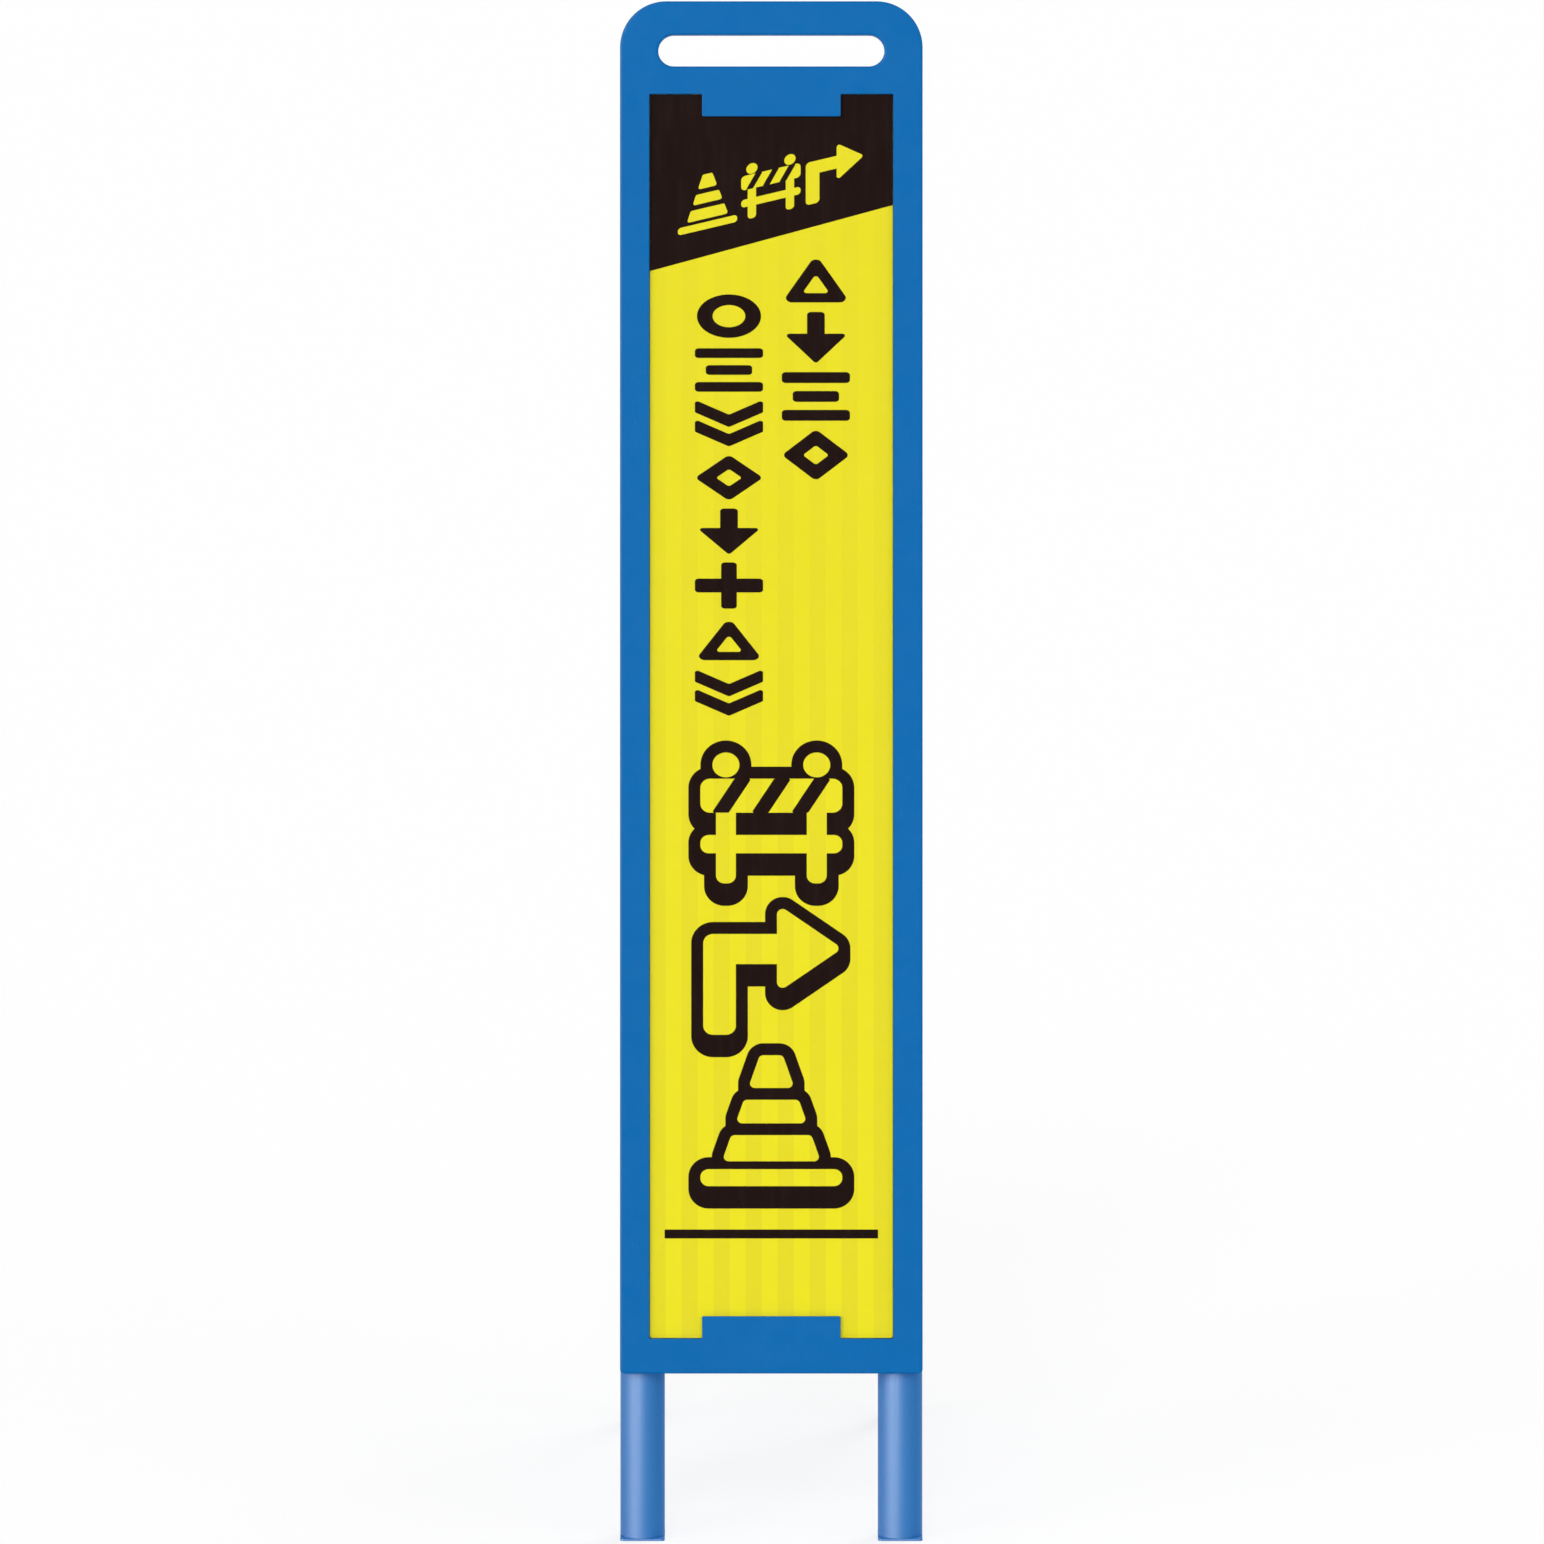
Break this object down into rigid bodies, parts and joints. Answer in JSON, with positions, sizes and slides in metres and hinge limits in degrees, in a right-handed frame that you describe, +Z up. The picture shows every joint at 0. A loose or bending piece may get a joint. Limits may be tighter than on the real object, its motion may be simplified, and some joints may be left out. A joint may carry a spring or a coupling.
{
  "type": "standing road sign",
  "caption": "Slim upright road works sign: blue moulded frame with a handle slot, tall yellow and black board, round legs and a fold-out rear stand with a sliding stay.",
  "frame": {"origin": "on the floor, under the centre of the opened sign's outline", "axes": "+Z up, +Y towards the rear stand (the printed face looks to -Y and leans back 10 degrees), +X to the right of a viewer in front"},
  "size_m": [0.275, 0.5176, 1.3801],
  "materials": {
    "blue_moulding": "satin moulded",
    "blue_plug": "satin moulded",
    "blue_painted_steel": "gloss paint",
    "white_board": "satin",
    "yellow_film": "printed film",
    "black_rubber": "matte",
    "black_plug": "satin",
    "nylon_washer": "satin",
    "zinc_steel": "bright zinc"
  },
  "bodies": {
    "sign_frame": {"front_frame": "blue_moulding", "sign_board": "white_board", "reflective_sheet": "yellow_film", "left_upright": "blue_painted_steel", "left_upright_cap": "blue_plug", "left_front_foot": "blue_plug", "left_upright_screw_lower": "zinc_steel", "left_upright_screw_middle": "zinc_steel", "left_upright_screw_upper": "zinc_steel", "left_fold_bumper": "black_rubber", "left_hinge_bracket": "blue_painted_steel", "left_bracket_screw_lower": "zinc_steel", "left_bracket_screw_upper": "zinc_steel", "left_hinge_bolt": "zinc_steel", "left_hinge_nut": "zinc_steel", "left_hinge_washer_inner": "nylon_washer", "left_hinge_washer_outer": "nylon_washer", "right_upright": "blue_painted_steel", "right_upright_cap": "blue_plug", "right_front_foot": "blue_plug", "right_upright_screw_lower": "zinc_steel", "right_upright_screw_middle": "zinc_steel", "right_upright_screw_upper": "zinc_steel", "right_fold_bumper": "black_rubber", "right_hinge_bracket": "blue_painted_steel", "right_bracket_screw_lower": "zinc_steel", "right_bracket_screw_upper": "zinc_steel", "right_hinge_bolt": "zinc_steel", "right_hinge_nut": "zinc_steel", "right_hinge_washer_inner": "nylon_washer", "right_hinge_washer_outer": "nylon_washer", "guide_rail": "zinc_steel", "guide_rail_screw_lower": "zinc_steel", "guide_rail_screw_upper": "zinc_steel"},
    "rear_stand": {"left_rear_leg": "blue_painted_steel", "left_rear_leg_cap": "black_plug", "left_rear_foot": "black_rubber", "left_stay_collar": "zinc_steel", "right_rear_leg": "blue_painted_steel", "right_rear_leg_cap": "black_plug", "right_rear_foot": "black_rubber", "right_stay_collar": "zinc_steel", "upper_crossbar": "blue_painted_steel", "lower_crossbar": "blue_painted_steel"},
    "stay": {"stay_arm": "zinc_steel", "stay_slide_pin": "zinc_steel", "stay_pin_clip": "zinc_steel"}
  },
  "joints": [
    {"name": "stand_fold", "type": "hinge", "parent": "sign_frame", "child": "rear_stand", "pos_m": [0, 0.02397, 1.25172], "axis": [-1, 0, 0], "range_deg": [0, 20]},
    {"name": "stay_swing", "type": "hinge", "parent": "rear_stand", "child": "stay", "pos_m": [0, 0.08474, 0.90703], "axis": [1, 0, 0], "range_deg": [0, 36.84]}
  ],
  "couplings": [
    {"joint": "stay_swing", "follows": "stand_fold", "ratio": 1.8417}
  ]
}
